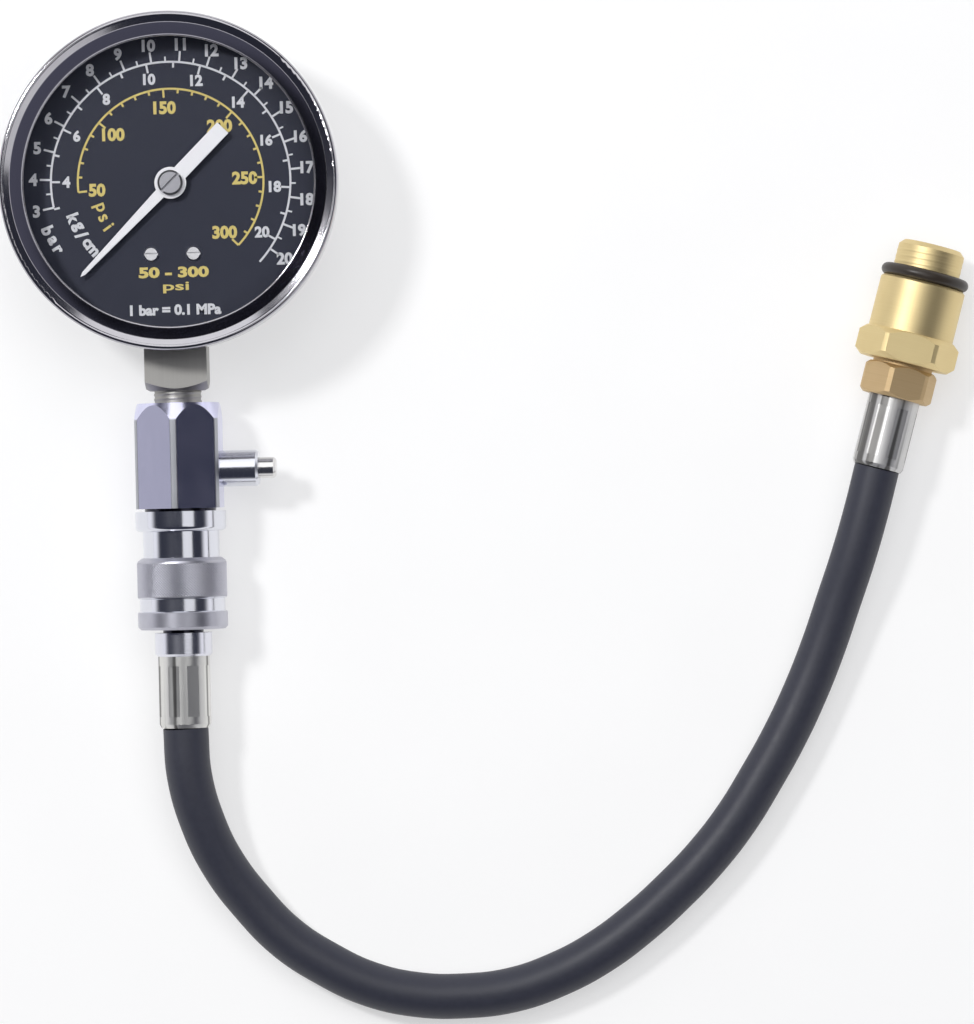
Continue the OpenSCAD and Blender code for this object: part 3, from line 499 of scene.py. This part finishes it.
# a finished mesh piece at the origin, smooth where its faces meet gently
def makePiece(name, bm, finishNames, body, sharpAngle=35.0):
    bmesh.ops.remove_doubles(bm, verts=bm.verts[:], dist=weldReach)
    bmesh.ops.recalc_face_normals(bm, faces=bm.faces[:])
    limit = math.radians(sharpAngle)
    for face in bm.faces:
        face.smooth = True
    for edge in bm.edges:
        edge.smooth = edge.calc_face_angle(0.0) < limit
    mesh = bpy.data.meshes.new(name)
    bm.to_mesh(mesh)
    bm.free()
    for finish in finishNames:
        mesh.materials.append(finishes[finish])
    piece = bpy.data.objects.new(name, mesh)
    scene.collection.objects.link(piece)
    if body:
        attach(piece, body)
    return piece


# printing on the dial, raised a little so that it is real geometry
dialFace = {
    "z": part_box("dial_plate")[1].z,
    "ink": 0.04 * mm,
    "firstPsi": 50,
    "lastPsi": 300,
    "firstAngle": 185.3,
    "lastAngle": -44.5,
    "rise": 0.35 * mm,     # the print sits a little high on the plate
    "line": 0.42 * mm,
    "curveSteps": 3,
    "weight": 0.045,
    "openWeight": 0.018,     # thinner letters where a dot stands over its stem
}
letterHeights = {"b": 1.0, "k": 1.0, "p": 1.0, "g": 1.0, "/": 1.1, "i": 1.0, "²": 0.5}
lowLetter = 0.72     # height of a letter that isn't listed


def psiAngle(psi):
    d = dialFace
    share = (psi - d["firstPsi"]) / (d["lastPsi"] - d["firstPsi"])
    return math.radians(d["firstAngle"] + share * (d["lastAngle"] - d["firstAngle"]))


def onDial(radius, angle):
    return Vector((radius * math.cos(angle), radius * math.sin(angle), dialFace["z"]))


def addTick(bm, angle, inner, outer, width):
    made = bmesh.ops.create_cube(bm, size=1.0)["verts"]
    middle = onDial((inner + outer) / 2, angle) + Vector((0, 0, dialFace["ink"] / 2))
    size = Matrix.Diagonal((abs(outer - inner), width, dialFace["ink"], 1))
    turn = Matrix.Rotation(angle, 4, "Z")
    bmesh.ops.transform(bm, verts=made, matrix=Matrix.Translation(middle) @ turn @ size)


def addArc(bm, radius, width, start, end, steps):
    low, high = dialFace["z"], dialFace["z"] + dialFace["ink"]
    inner, outer = radius - width / 2, radius + width / 2
    turn = Matrix.Rotation(start, 3, "Z")
    corners = [(inner, low), (outer, low), (outer, high), (inner, high)]
    verts = [bm.verts.new(turn @ Vector((r, 0, z))) for r, z in corners]
    face = bm.faces.new(verts)
    bmesh.ops.spin(bm, geom=[face] + verts + face.edges[:], axis=(0, 0, 1), cent=(0, 0, 0),
                   angle=end - start, steps=steps)


def addWords(bm, words, height, middle, turn=0.0, width=None, weight=dialFace["weight"]):
    curve = bpy.data.curves.new("words", "FONT")
    curve.body = words
    curve.size = 1.0
    curve.resolution_u = dialFace["curveSteps"]
    curve.extrude = 0.5
    curve.offset = weight
    holder = bpy.data.objects.new("words", curve)
    scene.collection.objects.link(holder)
    bpy.context.view_layer.update()
    drawn = holder.evaluated_get(bpy.context.evaluated_depsgraph_get())
    mesh = bpy.data.meshes.new_from_object(drawn)
    bpy.data.objects.remove(holder)
    bpy.data.curves.remove(curve)
    xs = [v.co.x for v in mesh.vertices]
    ys = [v.co.y for v in mesh.vertices]
    tall = max(ys) - min(ys)
    across = height / tall if width is None else width / (max(xs) - min(xs))
    centre = Vector(((max(xs) + min(xs)) / 2, (max(ys) + min(ys)) / 2, 0))
    size = Matrix.Diagonal((across, height / tall, dialFace["ink"], 1))
    lift = Vector((0, 0, dialFace["ink"] / 2))
    mesh.transform(Matrix.Translation(middle + lift) @ Matrix.Rotation(turn, 4, "Z") @ size
                   @ Matrix.Translation(-centre))
    bm.from_mesh(mesh)
    bpy.data.meshes.remove(mesh)


# words that follow the scale, with the tops of the letters towards the hub
def addArcWords(bm, words, height, radius, start, step, weight=dialFace["weight"]):
    for i, letter in enumerate(words):
        angle = math.radians(start + i * step)
        addWords(bm, letter, height * letterHeights.get(letter, lowLetter),
                 onDial(radius, angle), angle + math.pi / 2, weight=weight)


# words on a straight line below the hub
def addLowWords(bm, words, height, x, y, width, weight=dialFace["weight"]):
    addWords(bm, words, height, Vector((x, y, dialFace["z"])), width=width, weight=weight)


def finishPrint(name, bm, ink):
    bmesh.ops.translate(bm, verts=bm.verts[:], vec=(0, dialFace["rise"], 0))
    makePiece(name, bm, [ink], "gauge")


# outer scale: bar outside its arc, kg/cm² inside it
whiteScale = {
    "radius": 24.9 * mm,
    "arcSteps": 120,
    "barInPsi": 14.504,
    "kgInPsi": 14.223,
    "first": 3,
    "last": 20,
    "arcEnd": 20.6,
    "barTick": 2.3 * mm,
    "halfTick": 1.1 * mm,
    "halfWidth": 0.8,     # share of the line
    "evenTick": 1.9 * mm,
    "oddTick": 1.2 * mm,
    "barNumerals": 28.6 * mm,
    "kgNumerals": 21.7 * mm,
    "barHeight": 2.6 * mm,
    "kgHeight": 2.6 * 0.92 * mm,
    "barWords": dict(words="bar", height=2.7 * mm, radius=27.5 * mm, start=200.5, step=4.7),
    "kgWords": dict(words="kg/cm²", height=2.6 * mm, radius=21.6 * mm, start=199.5, step=5.1),
    "lowWords": dict(
        words="1 bar = 0.1 MPa", height=2.3 * mm, x=0.4 * mm, y=-26.65 * mm, width=19 * mm),
}


def printWhiteScale():
    w = whiteScale
    line, radius, bar = dialFace["line"], w["radius"], w["barInPsi"]
    bm = bmesh.new()
    addArc(bm, radius, line, psiAngle(w["first"] * bar), psiAngle(w["arcEnd"] * bar),
           w["arcSteps"])
    for value in range(w["first"], w["last"] + 1):
        angle = psiAngle(value * bar)
        addTick(bm, angle, radius, radius + w["barTick"], line)
        addWords(bm, str(value), w["barHeight"], onDial(w["barNumerals"], angle))
        if value < w["last"]:
            half = psiAngle((value + 0.5) * bar)
            addTick(bm, half, radius, radius + w["halfTick"], line * w["halfWidth"])
    for value in range(w["first"], w["last"] + 1):
        angle = psiAngle(value * w["kgInPsi"])
        even = value % 2 == 0
        addTick(bm, angle, radius - w["evenTick" if even else "oddTick"], radius, line)
        if even:
            addWords(bm, str(value), w["kgHeight"], onDial(w["kgNumerals"], angle))
    addArcWords(bm, **w["barWords"])
    addArcWords(bm, **w["kgWords"])
    addLowWords(bm, **w["lowWords"])
    finishPrint("dialPrintWhite", bm, "whiteInk")


# inner scale in psi
yellowScale = {
    "radius": 19.3 * mm,
    "arcSteps": 110,
    "minorStep": 10,
    "majorStep": 50,
    "majorTick": 1.8 * mm,
    "minorTick": 0.9 * mm,
    "numerals": 15.4 * mm,
    "numeralHeight": 2.75 * mm,
    "arcWords": dict(
        words="psi", height=2.7 * mm, radius=16.0 * mm, start=199.0, step=8.0,
        weight=dialFace["openWeight"]),
    "rangeWords": dict(
        words="50 - 300", height=2.3 * mm, x=0.2 * mm, y=-18.85 * mm, width=14.6 * mm),
    "unitWords": dict(
        words="psi", height=2.3 * mm, x=0.6 * mm, y=-22.05 * mm, width=5.4 * mm,
        weight=dialFace["openWeight"]),
}


def printYellowScale():
    y = yellowScale
    line, radius = dialFace["line"], y["radius"]
    first, last = dialFace["firstPsi"], dialFace["lastPsi"]
    bm = bmesh.new()
    addArc(bm, radius, line, psiAngle(first), psiAngle(last), y["arcSteps"])
    for psi in range(first, last + 1, y["minorStep"]):
        angle = psiAngle(psi)
        major = psi % y["majorStep"] == 0
        addTick(bm, angle, radius - y["majorTick" if major else "minorTick"], radius, line)
        if major:
            addWords(bm, str(psi), y["numeralHeight"], onDial(y["numerals"], angle))
    addArcWords(bm, **y["arcWords"])
    addLowWords(bm, **y["rangeWords"])
    addLowWords(bm, **y["unitWords"])
    finishPrint("dialPrintYellow", bm, "yellowInk")


printWhiteScale()
printYellowScale()
print("dial printed")

# coupler sleeve with a diamond knurl, a polished groove and a bevelled rim
sleeveLow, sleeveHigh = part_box("coupler_sleeve")
sleeve = {
    "length": sleeveHigh.y - sleeveLow.y,
    "radius": (sleeveHigh.x - sleeveLow.x) / 2,
    "axisZ": (sleeveHigh.z + sleeveLow.z) / 2,
    "topBevel": 1.1 * mm,
    "shoulderIn": 0.1 * mm,
    "shoulderUp": 0.25 * mm,
    "ridges": 94,
    "rows": 26,
    "knurlStart": 0.9 * mm,
    "knurlEnd": 8.3 * mm,
    "knurlDepth": 0.11 * mm,
    "grooveEnd": 11.3 * mm,
    "grooveDepth": 0.45 * mm,
    "grooveSlope": 0.15 * mm,
    "grooveLip": 0.12 * mm,
    "wall": 0.4 * mm,     # faces further out than the chamber and this are on the outside
    "rimBevel": 0.6 * mm,
    "chamber": (8.04 * mm, 8.6 * mm),
    "land": (6.74 * mm, 11.6 * mm),
    "mouth": 7.89 * mm,
    "sharpAngle": 18.0,
}


# half section of the sleeve as radius and distance from its top, knurl still plain
def sleeveProfile(root, step):
    s = sleeve
    r, slope = s["radius"], s["grooveSlope"]
    neck = r - s["grooveDepth"]
    chamber, chamberEnd = s["chamber"]
    land, landEnd = s["land"]
    profile = [(chamber, 0), (r - s["topBevel"], 0),
               (root - s["shoulderIn"], s["knurlStart"] - s["shoulderUp"])]
    profile += [(root if row in (0, s["rows"]) else r, s["knurlStart"] + row * step)
                for row in range(s["rows"] + 1)]
    profile += [
        (root, s["knurlEnd"] + slope),
        (neck, s["knurlEnd"] + 2 * slope),
        (neck, s["grooveEnd"] - slope),
        (r - s["grooveLip"], s["grooveEnd"]),
        (r, s["grooveEnd"] + slope),
        (r, s["length"] - s["rimBevel"]),
        (r - s["rimBevel"], s["length"]),
        (s["mouth"], s["length"]),
        (s["mouth"], landEnd),
        (land, landEnd),
        (land, chamberEnd),
        (chamber, chamberEnd),
    ]
    return profile


# local Z becomes the way down the stem, from a point at its top
def layDown(top):
    place = Matrix.Translation((0, top, sleeve["axisZ"]))
    return place @ Matrix.Rotation(math.radians(90), 4, "X")


def makeSleeve():
    s = sleeve
    root = s["radius"] - s["knurlDepth"]
    step = (s["knurlEnd"] - s["knurlStart"]) / s["rows"]
    bm = bmesh.new()
    verts = [bm.verts.new((x, 0, z)) for x, z in sleeveProfile(root, step)]
    edges = [bm.edges.new((verts[i - 1], verts[i])) for i in range(len(verts))]
    bmesh.ops.spin(bm, geom=verts + edges, axis=(0, 0, 1), cent=(0, 0, 0), angle=math.tau,
                   steps=2 * s["ridges"], use_merge=True)
    bmesh.ops.remove_doubles(bm, verts=bm.verts[:], dist=weldReach)
    valleys = []
    for vert in bm.verts:
        row = round((vert.co.z - s["knurlStart"]) / step)
        column = round(math.atan2(vert.co.y, vert.co.x) * s["ridges"] / math.pi)
        reach = vert.co.xy.length
        if 0 < row < s["rows"] and reach > root and (row + column) % 2:
            vert.co.x *= root / reach
            vert.co.y *= root / reach
            valleys.append(vert)
    bmesh.ops.connect_verts(bm, verts=valleys)
    outside = s["chamber"][0] + s["wall"]
    for face in bm.faces:
        middle = face.calc_center_median()
        if s["knurlEnd"] < middle.z < s["grooveEnd"] and middle.xy.length > outside:
            face.material_index = 1     # the polished groove
    bmesh.ops.transform(bm, verts=bm.verts[:], matrix=layDown(sleeveHigh.y))
    piece = makePiece("knurledSleeve", bm, ["sleeveNickel", "turnedChrome"], "sleeve",
                      s["sharpAngle"])
    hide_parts("coupler_sleeve")


threads = {
    "plugPitch": 1.25 * mm,
    "plugHeight": 0.06 * mm,
    "plugLength": 3.4 * mm,
    "stemRadius": 4.85 * mm,
    "stemPitch": 1.0 * mm,
    "stemHeight": 0.14 * mm,
    "stemGap": 2.6 * mm,
    "stemMargin": 0.3 * mm,
    "foot": 0.05 * mm,
    "flank": 0.45,     # shares of the pitch, from the middle of the ridge
    "crest": 0.06,
    "steps": 64,
}


# helical thread ridge round the local Z axis
def addThread(bm, radius, height, pitch, start, length):
    steps = threads["steps"]
    count = round(length / pitch * steps)
    flank, crest = threads["flank"] * pitch, threads["crest"] * pitch
    base, top = radius - threads["foot"], radius + height
    shape = [(base, -flank), (top, -crest), (top, crest), (base, flank)]
    verts = [bm.verts.new((x, 0, start + z)) for x, z in shape]
    face = bm.faces.new(verts)
    bmesh.ops.spin(bm, geom=[face] + verts + face.edges[:], axis=(0, 0, 1), cent=(0, 0, 0),
                   angle=count * math.tau / steps, steps=count, dvec=(0, 0, length / count))


def makePlugThread():
    t = threads
    mount = [m for m in frame["record"]["mounts"] if m["name"] == "plug_thread"][0]
    bm = bmesh.new()
    addThread(bm, mount["dims"]["r_mm"] * mm, t["plugHeight"], t["plugPitch"],
              -t["plugLength"] / 2, t["plugLength"])
    turn = Vector(mount["axis"]).to_track_quat("Z", "Y").to_matrix().to_4x4()
    place = Matrix.Translation(mount["pos_m"])
    bmesh.ops.transform(bm, verts=bm.verts[:], matrix=place @ turn)
    makePiece("plugThread", bm, ["adapterBrass"], "hose_line")


def makeStemThread():
    t = threads
    bm = bmesh.new()
    addThread(bm, t["stemRadius"], t["stemHeight"], t["stemPitch"], t["stemMargin"],
              t["stemGap"] - 2 * t["stemMargin"])
    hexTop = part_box("valve_body")[1].y
    bmesh.ops.transform(bm, verts=bm.verts[:], matrix=layDown(hexTop + t["stemGap"]))
    makePiece("stemThread", bm, ["stemPlate"], "gauge")


# springs are copied onto the body of the joint that pushes them, with the share of length they
# would keep worked out but not applied; the pressure tube is copied as it stands
springs = {
    "sleeve_spring": ("sleeveCoil", "sleeve_pull"),
    "bleed_spring": ("bleedCoil", "bleed_press"),
    "check_valve_spring": ("valveCoil", "valve_lift"),
}


def copyNode(node, name, finish, body):
    bm = bmesh.new()
    bm.from_mesh(frame["nodes"][node].data)
    piece = makePiece(name, bm, [finish], body)
    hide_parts(node)
    return piece


def makeSprings():
    joints = {joint["name"]: joint for joint in frame["record"]["behaviour"]["joints"]}
    for node, (name, push) in springs.items():
        axis = Vector(joints[push]["axis"])
        coil = copyNode(node, name, "plainSteel", joints[push]["parent"])
        along = [v.co.dot(axis) for v in coil.data.vertices]
        free = max(along) - min(along)
        keep = (free - joints[push]["range_m"][1]) / free
        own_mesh(coil)
    tube = copyNode("bourdon_tube", "flexingTube", "movementBrass", None)
    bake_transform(tube)


makeSleeve()
makePlugThread()
makeStemThread()
makeSprings()
declareHose()
print("sleeve, threads and springs made")

# table, light and surroundings
lamps = {
    "keyLamp": dict(place=(-0.5, 0.33, 1.0), size=(0.15, 0.15), power=6.5),
    "fillLamp": dict(place=(0.25, 0.1, 1.1), size=(0.9, 0.9), power=4.0, mirrored=False),
    "backPanel": dict(place=(-0.04, 0.51, 0.84), size=(0.6, 1.05), power=2.5),
    "topLamp": dict(place=(0.1175, -0.06, 0.29), size=(0.165, 0.13), power=0.061, aimed=False),
}
lampTarget = (0.03, -0.06, 0.02)


# a lamp that isn't mirrored gives light without an image of itself
def addLamp(name, place, size, power, aimed=True, mirrored=True):
    lamp = bpy.data.lights.new(name, "AREA")
    lamp.shape = "RECTANGLE"
    lamp.size, lamp.size_y = size
    lamp.energy = power
    holder = bpy.data.objects.new(name, lamp)
    holder.location = place
    holder.visible_camera = False
    holder.visible_glossy = mirrored
    if aimed:
        ray = Vector(lampTarget) - holder.location
        holder.rotation_euler = ray.to_track_quat("-Z", "Y").to_euler()
    scene.collection.objects.link(holder)


table = {
    "size": 8.0,
    "drop": 0.3 * mm,
    "colour": (0.5, 0.5, 0.5),
    "fleck": (0.47, 0.47, 0.47),
    "fleckScale": 30.0,
    "rough": 0.9,
    "glow": (0.52, 0.52, 0.52),     # seen or mirrored, but lights nothing
}


def makeTable():
    bm = bmesh.new()
    bmesh.ops.create_grid(bm, x_segments=1, y_segments=1, size=table["size"] / 2)
    mesh = bpy.data.meshes.new("floor")
    bm.to_mesh(mesh)
    bm.free()
    floor = bpy.data.objects.new("floor", mesh)
    floor.location = (0, 0, -table["drop"])
    scene.collection.objects.link(floor)
    paint = Finish("tableWhite")
    rays = ("Is Camera Ray", "Is Glossy Ray", "Is Transmission Ray")
    camera, glossy, through = [paint.add("LightPath", output=ray) for ray in rays]
    fleck = paint.noise(paint.place(), table["fleckScale"])
    paint.set(
        paint.shader,
        BaseColor=paint.mix(fleck, table["colour"], table["fleck"]),
        Roughness=table["rough"],
        SpecularIORLevel=0.0,
        EmissionColor=paint.mix(camera + glossy + through, (0, 0, 0), table["glow"]),
        EmissionStrength=1.0,
    )
    mesh.materials.append(paint.material)


sky = {
    "bright": (1.0, 1.0, 1.04),
    "dark": (0.035, 0.038, 0.056),
    "lowEdge": 0.16,
    "highEdge": 0.46,
}


# bright walls all round under a dark ceiling
def makeSky():
    world = bpy.data.worlds.new("softTent")
    scene.world = world
    tent = Tree(world)
    direction = tent.add("TexCoord", output="Generated")
    height = tent.add("SeparateXYZ", output=2, Vector=direction)
    wall = tent.step(height, sky["lowEdge"], sky["highEdge"], 1.0, 0.0)
    colour = tent.mix(wall, sky["dark"], sky["bright"])
    tent.set(tent.tree.nodes["Background"], Color=colour, Strength=1.0)


for lampName, lampLook in lamps.items():
    addLamp(lampName, **lampLook)
makeTable()
makeSky()
print("studio lit")
